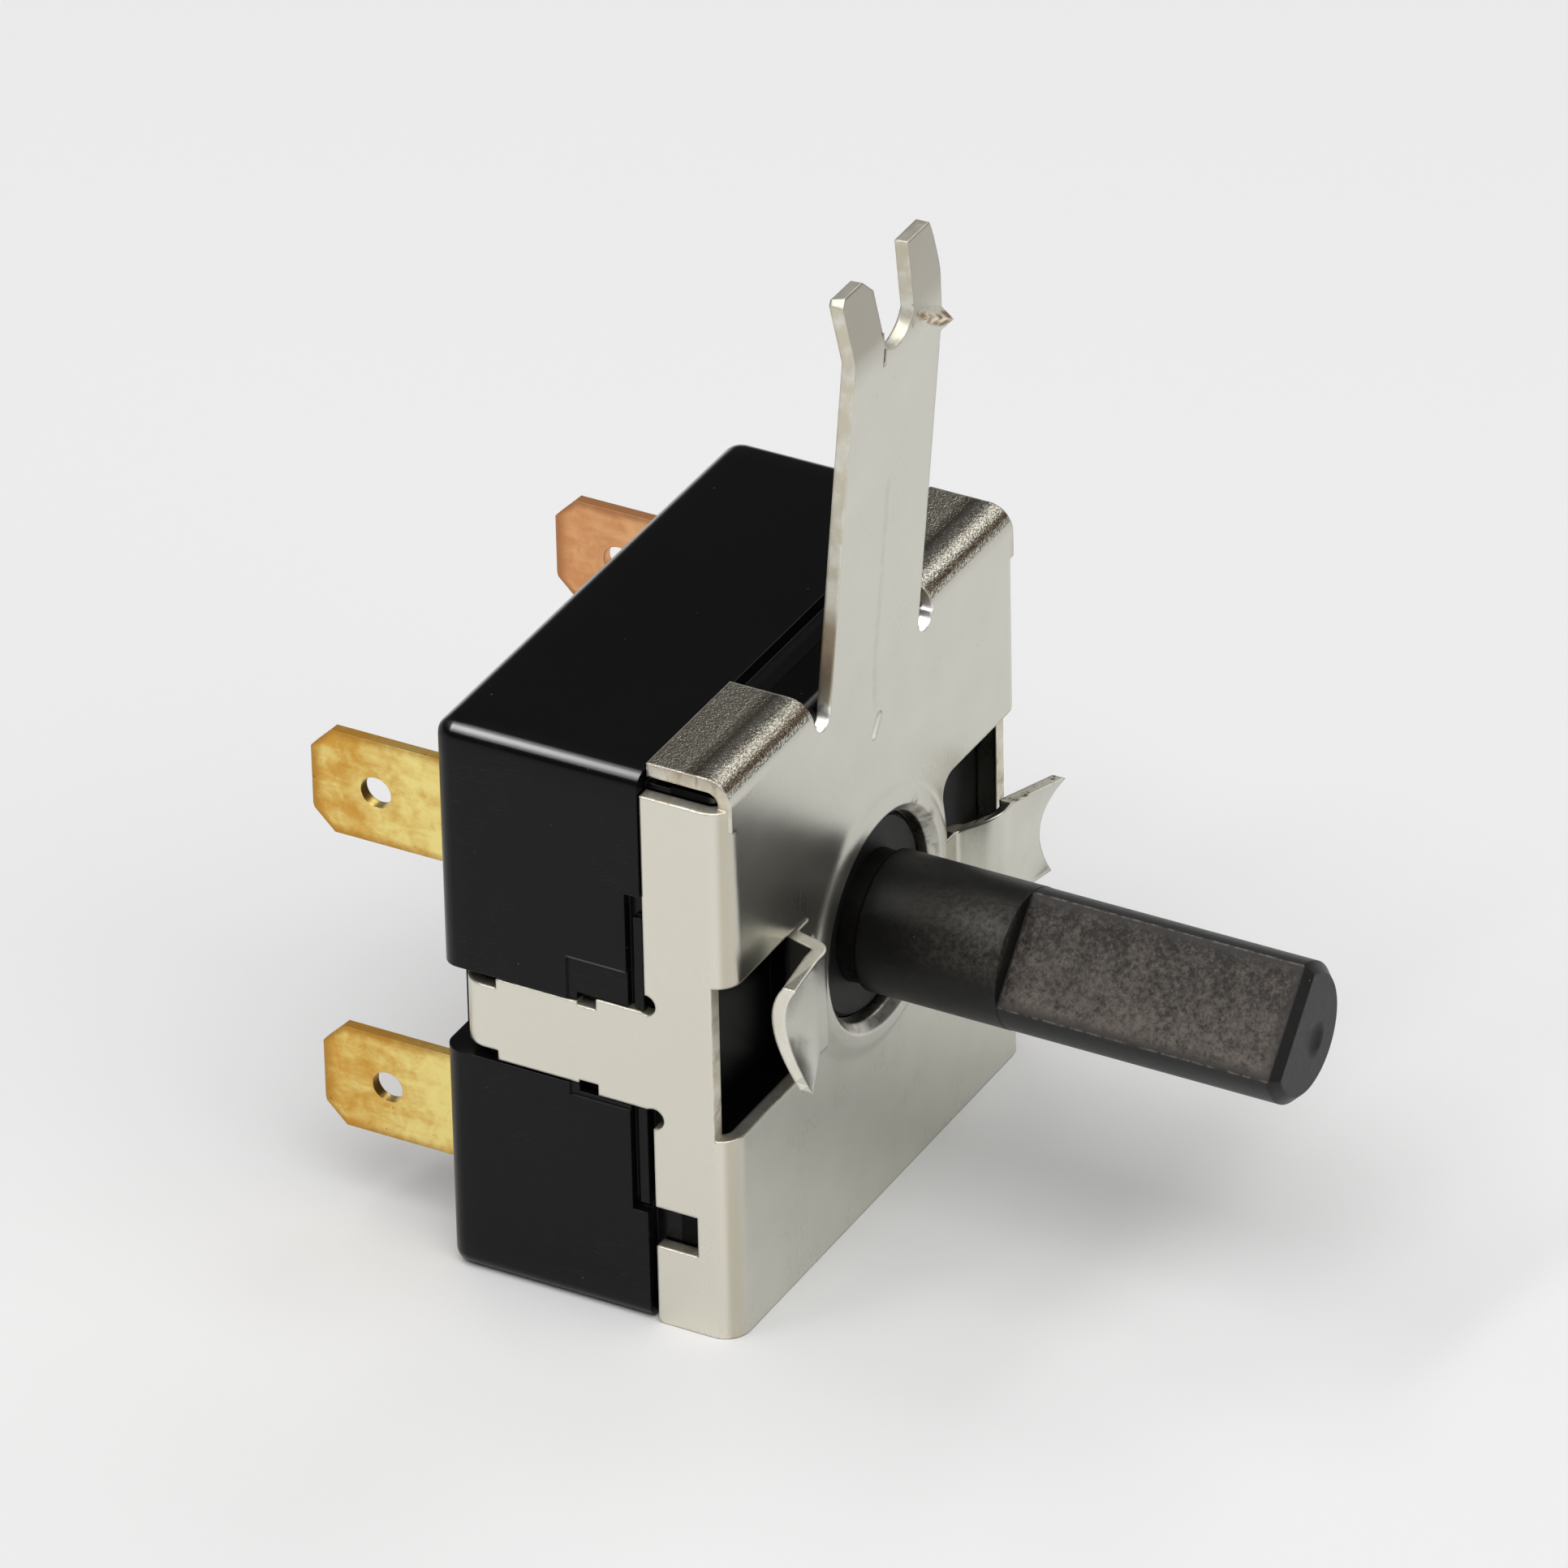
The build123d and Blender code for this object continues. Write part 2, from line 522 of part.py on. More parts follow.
def retaining_ring():
    half = clip_mouth / 2
    body = ring(journal_radius + running / 2, clip_radius, rotor_back + running, wiper_front - 2 * running)
    return body - block(-half, half, rotor_back - 1, wiper_front + 1, -clip_radius - 1, 0)


def rotor_contact():
    """The wiper: a disc with one long and one short lobe that reach out over the rivets."""
    shape = Circle(wiper_disc) + pie(wiper_radius, 255, 375) + pie(wiper_radius, 121, 149)
    body = along_y(shape, wiper_front, wiper_front + wiper_sheet)
    body -= rod(journal_radius + 0.25, wiper_front - 1, wiper_front + 2)
    for side in (0, 180):
        hole = rod(drive_radius + 0.08, wiper_front - 1, wiper_front + 2, drive_circle)
        body -= at_angle(hole, index_offset + 90 + side)
    return body


def rivet_place(z):
    """The fixed contacts lie on the diagonals, in front of their terminal's leg."""
    reach = contact_circle * cos(radians(45))
    return reach, reach if z > 0 else -reach


def terminal(z):
    """The right-hand terminal at height z: a leg on the case's floor, folded back into a tab."""
    path = [(leg_end, floor_y - tab_sheet), (tab_x, floor_y - tab_sheet), (tab_x, tab_tip)]
    strip = along_z(folded_strip(path, tab_sheet, leg_bend), z - tab_width / 2, z + tab_width / 2)
    rivet_x, rivet_z = rivet_place(z)
    strip += rod(leg_pad, floor_y - tab_sheet, floor_y, rivet_x, rivet_z)
    strip -= rod(rivet_shank + running / 2, floor_y - 2, floor_y + 1, rivet_x, rivet_z)
    strip -= rod(peg_radius + running, floor_y - 2, floor_y + 1, peg_x, z)
    strip -= cross_rod(tab_hole_radius, tab_x - 2, tab_x + 2, tab_tip - tab_hole_from_tip, z)
    tip_edges = strip.edges().filter_by(Axis.X).group_by(Axis.Y)[-1]
    strip = chamfer(tip_edges, tab_chamfer)
    lead_in = strip.faces().sort_by(Axis.Y)[-1].edges().filter_by(Axis.Z)
    return chamfer(lead_in, tab_bevel)


def contact_rivet(z):
    rivet_x, rivet_z = rivet_place(z)
    front = wiper_front + wiper_sheet + contact_gap
    head = rod(rivet_head, front, floor_y - tab_sheet, rivet_x, rivet_z)
    head = chamfer(head.edges().sort_by(Axis.Y)[0], 0.3)
    return head + rod(rivet_shank, floor_y - tab_sheet - 0.2, floor_y, rivet_x, rivet_z)


# ---------------------------------------------------------------- the nodes
nodes = {
    "mounting_bracket": mounting_bracket(),
    "housing": housing(),
    "front_cover": front_cover(),
    "index_ring": index_ring(),
    "shaft": shaft(),
    "rotor": rotor(),
    "thrust_washer": thrust_washer(),
    "contact_spring": contact_spring(),
    "retaining_ring": retaining_ring(),
    "rotor_contact": rotor_contact(),
}
for name, side in (("right", 0), ("left", 180)):
    nodes[f"detent_ball_{name}"] = detent_ball(side)
    nodes[f"detent_spring_{name}"] = detent_spring(side)
for level, height in (("upper", tab_high_z), ("lower", tab_low_z)):
    nodes[f"terminal_{level}_right"] = terminal(height)
    nodes[f"terminal_{level}_left"] = terminal(height).mirror(Plane.YZ)
    nodes[f"contact_rivet_{level}_right"] = contact_rivet(height)
    nodes[f"contact_rivet_{level}_left"] = contact_rivet(height).mirror(Plane.YZ)

for name, solid in nodes.items():
    export_step(solid, f"parts/{name}.step")
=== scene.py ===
"""Looks, light and camera of the rotary switch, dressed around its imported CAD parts.

Lengths in the scene are metres. The finishes' formulas work in millimetres from the shaft's axis
and the front face of the bracket's plate: x to the right, y to the back, z up.
"""

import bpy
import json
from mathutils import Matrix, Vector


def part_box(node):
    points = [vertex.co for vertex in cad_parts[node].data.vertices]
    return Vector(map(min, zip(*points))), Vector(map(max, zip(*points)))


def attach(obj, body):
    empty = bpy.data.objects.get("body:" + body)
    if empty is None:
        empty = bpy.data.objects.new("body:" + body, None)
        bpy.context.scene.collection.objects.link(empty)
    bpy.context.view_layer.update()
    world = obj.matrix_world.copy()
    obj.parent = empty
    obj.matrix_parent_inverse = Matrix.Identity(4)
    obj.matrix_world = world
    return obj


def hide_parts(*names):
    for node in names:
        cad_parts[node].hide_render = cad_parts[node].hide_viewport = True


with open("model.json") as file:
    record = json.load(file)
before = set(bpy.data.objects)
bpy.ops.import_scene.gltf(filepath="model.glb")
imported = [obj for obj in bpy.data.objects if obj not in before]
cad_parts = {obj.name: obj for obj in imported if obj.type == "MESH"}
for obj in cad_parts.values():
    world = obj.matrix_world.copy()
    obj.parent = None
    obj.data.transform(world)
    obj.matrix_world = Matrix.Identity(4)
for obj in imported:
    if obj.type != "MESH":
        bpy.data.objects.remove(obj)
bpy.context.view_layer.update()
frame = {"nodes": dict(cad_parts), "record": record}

import json
from math import cos, pi, radians, sin

import bmesh
import bpy
import numpy as np
from mathutils import Matrix, Vector
from mathutils.bvhtree import BVHTree

MM = 0.001
SHEET = 0.6 * MM                  # the bracket's thickness
THICK = 1.35 * SHEET              # more metal than this behind a face makes it a cut edge
COLLAR = 6.3 * MM                 # inside this from the shaft's axis the sheet is drawn out thicker
MERGE, SLIVER = 0.002 * MM, 0.001 * MM    # corners this near are one; shorter edges go
SMOOTH_BELOW = radians(32.0)      # faces that meet at less than this are shaded as one
FLAT_BELOW = radians(0.3)         # faces that meet at less than this lie in one flat
TAB_HIGH, TAB_LOW = 6.82, -7.3    # heights of the blades' middles, in millimetres
FLAT_ANGLE = radians(48.0)        # the shaft flat's normal, from +Z towards -X
BRACKET_EDGE, SHAFT_EDGE, CASE_EDGE, BLADE_EDGE = 0.17, 0.14, 0.07, 0.06    # eased by this, in mm
GLOSSY_TILT, TILT_SPREAD = 30.0, 14.0    # degrees from level where the case's rounding shines
BLACK, PALE = (0.0,) * 3, (0.76,) * 3    # PALE: the far floor and the room behind it, to the eye
TINY = 1e-18                      # keeps a division by an empty area or length from failing

LAMP_DISTANCE = 1.2
STRIP_ABOVE, STRIP_BEHIND = 0.911, 0.413    # the strip lights' direction before they lean
STRIPLIGHTS = ((-34, 7.8), (-8, 7.8), (18, 3.8))    # each one's lean in degrees and radiance
SOFTBOXES = {                     # direction, width, depth, radiance
    "softbox_left": ((-0.446, -0.203, 0.872), 0.85, 0.85, 2.6),
    "softbox_right": ((0.741, -0.1, 0.66), 0.5, 0.6, 1.75),
    "softbox_front": ((-0.1, -0.70, 0.70), 1.1, 1.1, 1.2),
}

BODY_OF = {node: body for body, nodes in frame["record"]["behaviour"]["bodies"].items()
           for node in nodes}
SLOT_OF = {part["node"]: part["material_slot"] for part in frame["record"]["subparts"]}


# ---------------------------------------------------------------- shader maths
class Wire:
    """A shader socket that can stand in a formula."""

    def __init__(self, nodes, socket):
        self.nodes, self.socket = nodes, socket

    def maths(self, operation, *terms):
        settings = {"operation": operation}
        return self.nodes.node("ShaderNodeMath", settings, dict(enumerate(terms)))[0]

    def __add__(self, other):
        return self.maths("ADD", self, other)

    __radd__ = __add__

    def __sub__(self, other):
        return self.maths("SUBTRACT", self, other)

    def __rsub__(self, other):
        return self.maths("SUBTRACT", other, self)

    def __mul__(self, other):
        return self.maths("MULTIPLY", self, other)

    __rmul__ = __mul__

    def __pow__(self, other):
        return self.maths("POWER", self, other)

    def __abs__(self):
        return self.maths("ABSOLUTE", self)

    def least(self, other):
        return self.maths("MINIMUM", self, other)

    def most(self, other):
        return self.maths("MAXIMUM", self, other)

    def step(self, low, high):
        """0 below low, 1 above high, smooth between."""
        settings = {"interpolation_type": "SMOOTHSTEP"}
        values = {"Value": self, "From Min": low, "From Max": high}
        return self.nodes.node("ShaderNodeMapRange", settings, values)["Result"]

    def band(self, low, high, soft):
        """1 between low and high, falling to 0 over soft outside them."""
        return self.step(low - soft, low) * (1 - self.step(high, high + soft))


def away(a, b):
    """The length of a vector with these two parts."""
    return (a * a + b * b) ** 0.5


class Outputs:
    """The outputs of a node, each as a Wire."""

    def __init__(self, nodes, made):
        self.nodes, self.made = nodes, made

    def __getitem__(self, key):
        return Wire(self.nodes, self.made.outputs[key])


class Nodes:
    """A node tree written as formulas; its place is the coordinate that patterns are read at."""

    def __init__(self, tree, coordinate):
        self.tree = tree
        self.tree.nodes.clear()
        self.place = self.node("ShaderNodeTexCoord")[coordinate]

    def node(self, kind, settings=None, values=None):
        """Make a node: its settings first (a ramp's stops among them), then values or links."""
        made = self.tree.nodes.new(kind)
        for key, value in (settings or {}).items():
            if key == "stops":
                stops = made.color_ramp.elements
                while len(stops) < len(value):
                    stops.new(0.5)
                for stop, (position, colour) in zip(stops, value):
                    stop.position, stop.color = position, self.paint(colour)
            else:
                setattr(made, key, value)
        for key, value in (values or {}).items():
            if isinstance(value, Wire):
                self.tree.links.new(value.socket, made.inputs[key])
            else:
                made.inputs[key].default_value = value
        return Outputs(self, made)

    def axes(self, unit=MM):
        """X, Y and Z of the place, in this unit."""
        scaled = self.node("ShaderNodeVectorMath", {"operation": "SCALE"},
                           {0: self.place, "Scale": 1 / unit})[0]
        parts = self.node("ShaderNodeSeparateXYZ", None, {0: scaled})
        return parts[0], parts[1], parts[2]

    def stretched(self, x, y, z):
        """The place with each axis scaled, in repeats per millimetre."""
        factors = (x / MM, y / MM, z / MM)
        return self.node("ShaderNodeVectorMath", {"operation": "MULTIPLY"},
                         {0: self.place, 1: factors})[0]

    def noise(self, repeats, detail=3.0, roughness=0.5, distortion=0.0):
        """Cloudy noise, repeats to a millimetre; repeats may be a stretched place instead."""
        place = repeats if isinstance(repeats, Wire) else self.stretched(repeats, repeats, repeats)
        values = {"Vector": place, "Scale": 1.0, "Detail": detail, "Roughness": roughness,
                  "Distortion": distortion}
        return self.node("ShaderNodeTexNoise", None, values)[0]

    def cells(self, repeats):
        """The distance to the nearest of scattered points, repeats to a millimetre."""
        values = {"Vector": self.stretched(repeats, repeats, repeats), "Scale": 1.0}
        return self.node("ShaderNodeTexVoronoi", None, values)["Distance"]

    def attribute(self, name):
        """A number stored on the piece's mesh."""
        return self.node("ShaderNodeAttribute", {"attribute_name": name})["Fac"]

    def seen(self):
        """1 for what the eye sees straight, mirrored or through glass, and 0 for diffuse light."""
        path = self.node("ShaderNodeLightPath")
        return path["Is Camera Ray"].most(path["Is Glossy Ray"]).most(path["Is Transmission Ray"])

    def paint(self, colour):
        """A colour as a socket takes it: a Wire as it is, or red, green and blue with alpha 1."""
        return colour if isinstance(colour, Wire) else (*colour, 1.0)

    def mix(self, amount, without, with_it):
        """A colour Mix: sockets 6 and 7 are its two colours, and output 2 is its colour."""
        values = {0: amount, 6: self.paint(without), 7: self.paint(with_it)}
        return self.node("ShaderNodeMix", {"data_type": "RGBA"}, values)[2]

    def layered(self, colour, *layers):
        """Each layer's colour laid over those before it, as far as its mask says."""
        for mask, over in layers:
            colour = self.mix(mask, colour, over)
        return colour

    def eased(self, radius):
        """The surface's direction with its sharp edges eased over a radius in millimetres."""
        return self.node("ShaderNodeBevel", {"samples": 8}, {"Radius": radius * MM})["Normal"]

    def relief(self, height, depth, under):
        """A bump over a direction; its height is in millimetres times depth."""
        values = {"Strength": 1.0, "Distance": depth * MM, "Height": height}
        if under:
            values["Normal"] = under
        return self.node("ShaderNodeBump", None, values)["Normal"]


class Finish(Nodes):
    """A piece's material."""

    def __init__(self, name):
        self.material = bpy.data.materials.get(name) or bpy.data.materials.new(name)
        self.material.use_nodes = True
        super().__init__(self.material.node_tree, "Object")

    def surface(self, **values):
        """The shader: socket names with spaces as underscores."""
        named = {key.replace("_", " "): value for key, value in values.items()}
        named["Base Color"] = self.paint(named["Base Color"])
        shader = self.node("ShaderNodeBsdfPrincipled", None, named)
        self.node("ShaderNodeOutputMaterial", None, {"Surface": shader["BSDF"]})
        return self.material


def srgb(red, green, blue):
    """A colour given as display levels from 0 to 255."""
    return tuple(((level / 255 + 0.055) / 1.055) ** 2.4 if level > 10 else level / 255 / 12.92
                 for level in (red, green, blue))


def darker(colour, share):
    """This share of a colour's light."""
    return tuple(level * share for level in colour)


# ---------------------------------------------------------------- finishes
def nickel_steel(name):
    """Satin nickel-plated sheet: rolled grain, pits, warm cut edges, bends crazed and browned.

    Each mask is 1 on the place it is named for and 0 off it.
    """
    f = Finish(name)
    x, y, z = f.axes()
    aside, from_axis = abs(x), away(x, z)

    # The grain of the sheet and of what has stained it.
    cloud = f.noise(0.35, 3)
    grain = f.noise(f.stretched(14, 14, 0.35), 4, 0.6)
    fine = f.noise(9, 3, 0.6)
    mottle = f.noise(8.5, 2, 0.7)
    stains = f.noise(1.7, 5, 0.65)
    torn = f.noise(f.stretched(0.9, 4, 0.9), 4, 0.65)
    pits = (1 - f.cells(0.8).step(0.02, 0.05)) * f.noise(0.6, 1).step(0.56, 0.62)

    # The top flanges, their bends, and the bends to the sides.
    top_flange = z.step(12.2, 12.35) * (1 - z.step(13.0, 13.1)) * aside.step(4.8, 5.0)
    crazed = top_flange * (1 - y.step(1.0, 1.5))
    cracks, flakes = 1 - mottle.step(0.38, 0.50), mottle.step(0.50, 0.62)
    # Painted shade: a dark band across each top flange near y = 1.8 mm and a mottled darker zone
    # behind it, for the dim room the flanges mirror.
    painted_flange_shade = (y.band(1.7, 1.95, 0.35) * 0.6).most(y.step(2.2, 2.6) * mottle * 0.3)
    bend_line = z.band(12.50, 12.62, 0.06) * (1 - y.step(0.5, 0.6)) * top_flange
    side_bend = (1 - y.step(0.85, 1.15)) * aside.step(11.5, 12.1) * (1 - z.step(11.2, 11.9))
    # Painted light: the side flanges are painted lighter, for the bright floor they mirror.
    painted_lit_side_flange = aside.step(12.2, 12.4)

    # The collar's lip, two smudges beside it, painted shade along the crease, and a painted glint
    # in the pip under the tongue.
    lip = (1 - from_axis.step(4.6, 4.9)) * stains.step(0.46, 0.66) * 0.6
    smudges = sum(1 - away(x - right, z - up).step(0.1, 0.55)
                  for right, up in ((2.6, 4.0), (3.9, 2.6)))
    smudges = smudges * stains.step(0.36, 0.56)
    # Painted shade: a faint dark line down the tongue's crease.
    crease = (1 - aside.step(0.02, 0.3)) * z.band(10.2, 20.4, 0.6) * stains.step(0.3, 0.6)
    # Painted glint: the inside of the pip is near white.
    pip = (1 - away(x - 0.1, z - 9.05).step(0.7, 0.85)) * y.step(0.03, 0.08)

    # The tongue's darker top, and the ledge that stands ahead of its leaning face, painted bright
    # as a highlight with brown stains.
    tongue_top = z.step(26.4, 28.6)
    ahead = (-1) * y - 0.0875 * (z - 11.45)
    ledge = ahead.step(0.08, 0.2) * z.band(26.3, 28.2, 0.2) * x.step(1.0, 1.2)
    ledge_highlight_and_stains = f.mix(stains.step(0.42, 0.56), srgb(240, 231, 212), srgb(150, 122, 94))

    # The cut edges: browned at the back, darkened brown by painted shade beside the tongue's foot,
    # a painted glint at the slots' ends and a painted highlight on the hooks' edges, nicked on the
    # right hook.
    edge = f.attribute("cut_edge")
    brown = (torn + 0.18 * y.step(0.2, 0.62)).step(0.68, 0.88)
    # Painted shade: the cut edges in the slots beside the tongue's foot are darkened brown.
    tongue_foot = z.band(13.6, 15.4, 1.7) * aside.step(3.0, 3.4)
    edge_tone = f.layered(
        srgb(218, 211, 192),
        (f.noise(0.9, 3, 0.6).step(0.40, 0.66), srgb(236, 234, 224)),
        (brown * 0.5, srgb(140, 108, 76)),
        # painted shade beside the tongue's foot
        (tongue_foot * 0.75, srgb(128, 100, 70)))
    # Painted glint: the cut edges at the slots' ends are near white.
    painted_slot_glint = edge * (1 - z.step(11.9, 12.2)) * z.step(10.3, 10.4) * (1 - aside.step(5.4, 5.5))
    # Painted highlight: the hooks' cut edges are near white.
    hook_edge = edge * (1 - y.step(-0.4, -0.2)) * (1 - z.step(4.0, 5.0))
    nicked = hook_edge * x.step(0, 1) * f.noise(2.6, 3, 0.7).step(0.54, 0.62)

    tone = f.layered(
        srgb(201, 200, 189),
        (cloud, srgb(216, 214, 203)),
        (pits * 0.4, srgb(110, 101, 88)),
        (tongue_top * 0.9, srgb(172, 167, 154)),
        (side_bend * (0.4 + 0.5 * cloud), srgb(192, 183, 160)),
        (top_flange * 0.4, srgb(190, 176, 150)),
        # painted shade on the top flanges
        (top_flange * painted_flange_shade, srgb(96, 86, 70)),
        (crazed * cracks * 0.5, srgb(92, 78, 60)),
        (crazed * flakes * 0.7, srgb(250, 248, 240)),
        # painted light on the side flanges
        (painted_lit_side_flange, srgb(224, 220, 207)),
        (bend_line * 0.65, srgb(150, 116, 82)),
        (lip.most(smudges * 0.8), srgb(92, 72, 54)),
        (edge * 0.9, edge_tone),
        # painted glint at the slots' ends
        (painted_slot_glint, srgb(255, 254, 250)),
        # painted highlight on the ledge, with brown stains
        (ledge, ledge_highlight_and_stains),
        # painted highlight on the hooks' edges
        (hook_edge * 0.6, srgb(246, 243, 232)),
        (nicked * 0.85, srgb(72, 60, 48)),
        # painted shade along the crease
        (crease * (0.08 + 0.1 * cloud), srgb(96, 88, 76)),
        # painted glint in the pip
        (pip, srgb(252, 252, 248)))
    rough = (0.23 + 0.07 * cloud + 0.04 * grain + 0.15 * brown * edge - 0.12 * top_flange
             + 0.2 * edge + 0.25 * pip - 0.12 * painted_slot_glint)

    # The top flanges spring up behind y = 1.8: by the square of the way, then in a straight line.
    sprung = (y - 1.8).most(0)
    shape = f.relief(fine, 0.003, f.eased(BRACKET_EDGE))
    shape = f.relief(1 - from_axis.step(4.7, 6.7), 0.04, shape)
    shape = f.relief(grain, 0.003, shape)
    shape = f.relief(mottle * (0.6 * top_flange + 0.4 * crazed), 0.036, shape)
    shape = f.relief((sprung * sprung).least(sprung - 0.25) * top_flange, 0.1, shape)
    shape = f.relief(f.noise(2.4, 3, 0.6) * edge, 0.02, shape)
    return f.surface(Base_Color=tone, Metallic=1.0, Roughness=rough, Normal=shape)


def glossy_black(name, tone, shine, gloss):
    """Moulded phenolic: black gloss, polished rounded edges, dust, and scratches on the sides.

    The faces fall away towards their edges by the square of how far a point lies past their level
    middles. shine is the roughness of clean plastic, gloss its specular level.
    """
    f = Finish(name)
    x, y, z = f.axes()
    cloud = f.noise(0.25, 3)
    hair = f.noise(f.stretched(0.5, 0.5, 9), 2, 0.5).band(0.49, 0.495, 0.004)
    hair = hair * f.noise(0.3, 2).step(0.5, 0.6) * abs(x).step(12.0, 12.4)
    dust = (1 - f.cells(1.1).step(0.03, 0.06)) * f.noise(0.5, 1).step(0.54, 0.62)
    # Painted highlight: a light line on the left side at z = 3.1 to 3.2 mm.
    painted_step_highlight = z.band(3.1, 3.2, 0.04) * y.band(4.9, 7.2, 0.3) * (1 - x.step(-12.0, -11.0))
    colour = f.mix(dust * 0.35 + hair * 0.08 + painted_step_highlight * 0.5, tone, srgb(115, 112, 105))
    rough = shine + 0.05 * cloud + 0.05 * hair + 0.3 * dust
    level_side, level_back, level_top, level_foot = 10.9, 11.7, 10.9, -11.7
    past = (abs(x) - level_side, y - level_back, z - level_top, level_foot - z)
    fall = sum(reach.most(0) * reach.most(0) for reach in past)
    shape = f.relief(fall, -0.05, f.eased(CASE_EDGE))
    shape = f.relief(f.noise(0.8, 2), 0.006, shape)
    shape = f.relief(f.noise(14, 2), 0.0006, shape)
    return f.surface(Base_Color=colour, Roughness=rough, Normal=shape, Specular_IOR_Level=gloss,
                     Coat_Weight=f.attribute("rounding"), Coat_Roughness=0.2, Coat_IOR=2.0)


def satin_black(name):
    """The shaft: satin black, its flat paler with a coarse grit that fades towards its edges."""
    f = Finish(name)
    x, y, z = f.axes()
    across = cos(FLAT_ANGLE) * x + sin(FLAT_ANGLE) * z
    height = -sin(FLAT_ANGLE) * x + cos(FLAT_ANGLE) * z
    on_flat = height.step(1.62, 1.68) * (1 - y.step(-6.95, -6.87)) * (1 - height.step(1.72, 1.78))
    middle = on_flat * (1 - abs(across).step(1.9, 2.45)) * y.step(-19.3, -18.4)
    speckle, grit, patch = f.noise(3.8, 3, 0.7), f.noise(9, 3, 0.7), f.noise(0.8, 3, 0.6)

    worn = (speckle * 0.5 + grit * 0.25 + patch * 0.25 - across * 0.022).step(0.38, 0.66)
    # Painted highlight: a light, broken line along the flat's edges.
    painted_rim_highlight = abs(across).step(2.38, 2.44) * f.noise(3, 3, 0.7).step(0.42, 0.6)
    gritty = f.mix(worn, srgb(38, 35, 33), srgb(102, 94, 87))
    flat = f.layered(srgb(50, 47, 44), (middle, gritty), (painted_rim_highlight * 0.6, srgb(128, 120, 112)))

    # Painted highlight: a grainy paler band along the shaft's upper side, where it mirrors the
    # lamps.
    painted_sheen = height.step(2.2, 3.0) * (1 - y.step(-6.0, -1.6)) * f.noise(4.5, 4, 0.7).step(0.25, 0.85)
    body = f.layered(
        srgb(8, 8, 7),
        (f.noise(2.2, 4, 0.6).step(0.4, 0.75), srgb(20, 18, 16)),
        # painted highlight on the shaft
        (painted_sheen * 0.8, srgb(92, 87, 80)))

    dust = (1 - f.cells(1.0).step(0.02, 0.05)) * f.noise(0.6, 1).step(0.48, 0.56) * (1 - on_flat)
    ring = away(x - 0.5, z + 0.5).band(0.62, 0.74, 0.08) * (1 - y.step(-19.2, -19.1))
    colour = f.layered(
        body,
        (on_flat, flat),
        (dust * 0.5, srgb(128, 122, 112)),
        (ring * 0.8, srgb(6, 6, 6)))
    rough = 0.32 + 0.16 * speckle + 0.12 * middle
    shape = f.relief(grit, 0.006, f.eased(SHAFT_EDGE))
    shape = f.relief(speckle * middle, 0.035, shape)
    return f.surface(Base_Color=colour, Roughness=rough, Normal=shape, Specular_IOR_Level=0.27)


def tarnished(name, clean, worn, edge_tone, tip_tone):
    """Stamped blades: clean metal with cloudy tarnish, spots, a darker cut rim and a bare tip."""
    f = Finish(name)
    x, y, z = f.axes()
    cloud = f.noise(1.3, 4, 0.6, 0.4)
    smear = f.noise(f.stretched(2.2, 0.5, 2.2), 4, 0.6)
    towards_tip = y.step(14.0, 19.5)
    tip = y.step(20.2, 20.25)
    from_middle = abs(z - TAB_HIGH).least(abs(z - TAB_LOW))
    chamfer = (from_middle + y).step(21.2, 21.7)
    rim = from_middle.step(1.95, 2.45).most(y.step(19.6, 20.3)).most(chamfer)
    tarnish = (cloud * 0.6 + smear * 0.4 + towards_tip * 0.22 + rim * 0.14).step(0.42, 0.86)
    spots = (1 - f.cells(1.3).step(0.05, 0.11)) * f.noise(0.9, 2).step(0.5, 0.6)
    colour = f.layered(
        clean,
        (tarnish * 0.9, worn),
        (spots * 0.65, edge_tone),
        (rim * 0.35, edge_tone),
        (tip, tip_tone))
    rough = 0.27 + 0.14 * tarnish + 0.1 * cloud + 0.12 * rim
    shape = f.relief(f.noise(9, 3), 0.003, f.eased(BLADE_EDGE))
    shape = f.relief(cloud, 0.008, shape)
    return f.surface(Base_Color=colour, Metallic=1.0, Roughness=rough, Normal=shape)


def plain_metal(name, tone, shine):
    """Small inner hardware: bright metal with fine turning marks."""
    f = Finish(name)
    cloud = f.noise(1.2, 3)
    colour = f.mix(cloud, tone, darker(tone, 0.8))
    shape = f.relief(f.noise(f.stretched(20, 3, 20), 2, 0.5), 0.003, None)
    return f.surface(Base_Color=colour, Metallic=1.0, Roughness=shine + 0.1 * cloud, Normal=shape)


def moulded(name, tone, shine, gloss):
    """Inner mouldings: nylon with a faint grain."""
    f = Finish(name)
    cloud = f.noise(0.8, 3)
    colour = f.mix(cloud, tone, darker(tone, 0.82))
    shape = f.relief(f.noise(8, 3), 0.004, None)
    return f.surface(Base_Color=colour, Roughness=shine + 0.1 * cloud, Normal=shape,
                     Specular_IOR_Level=gloss)


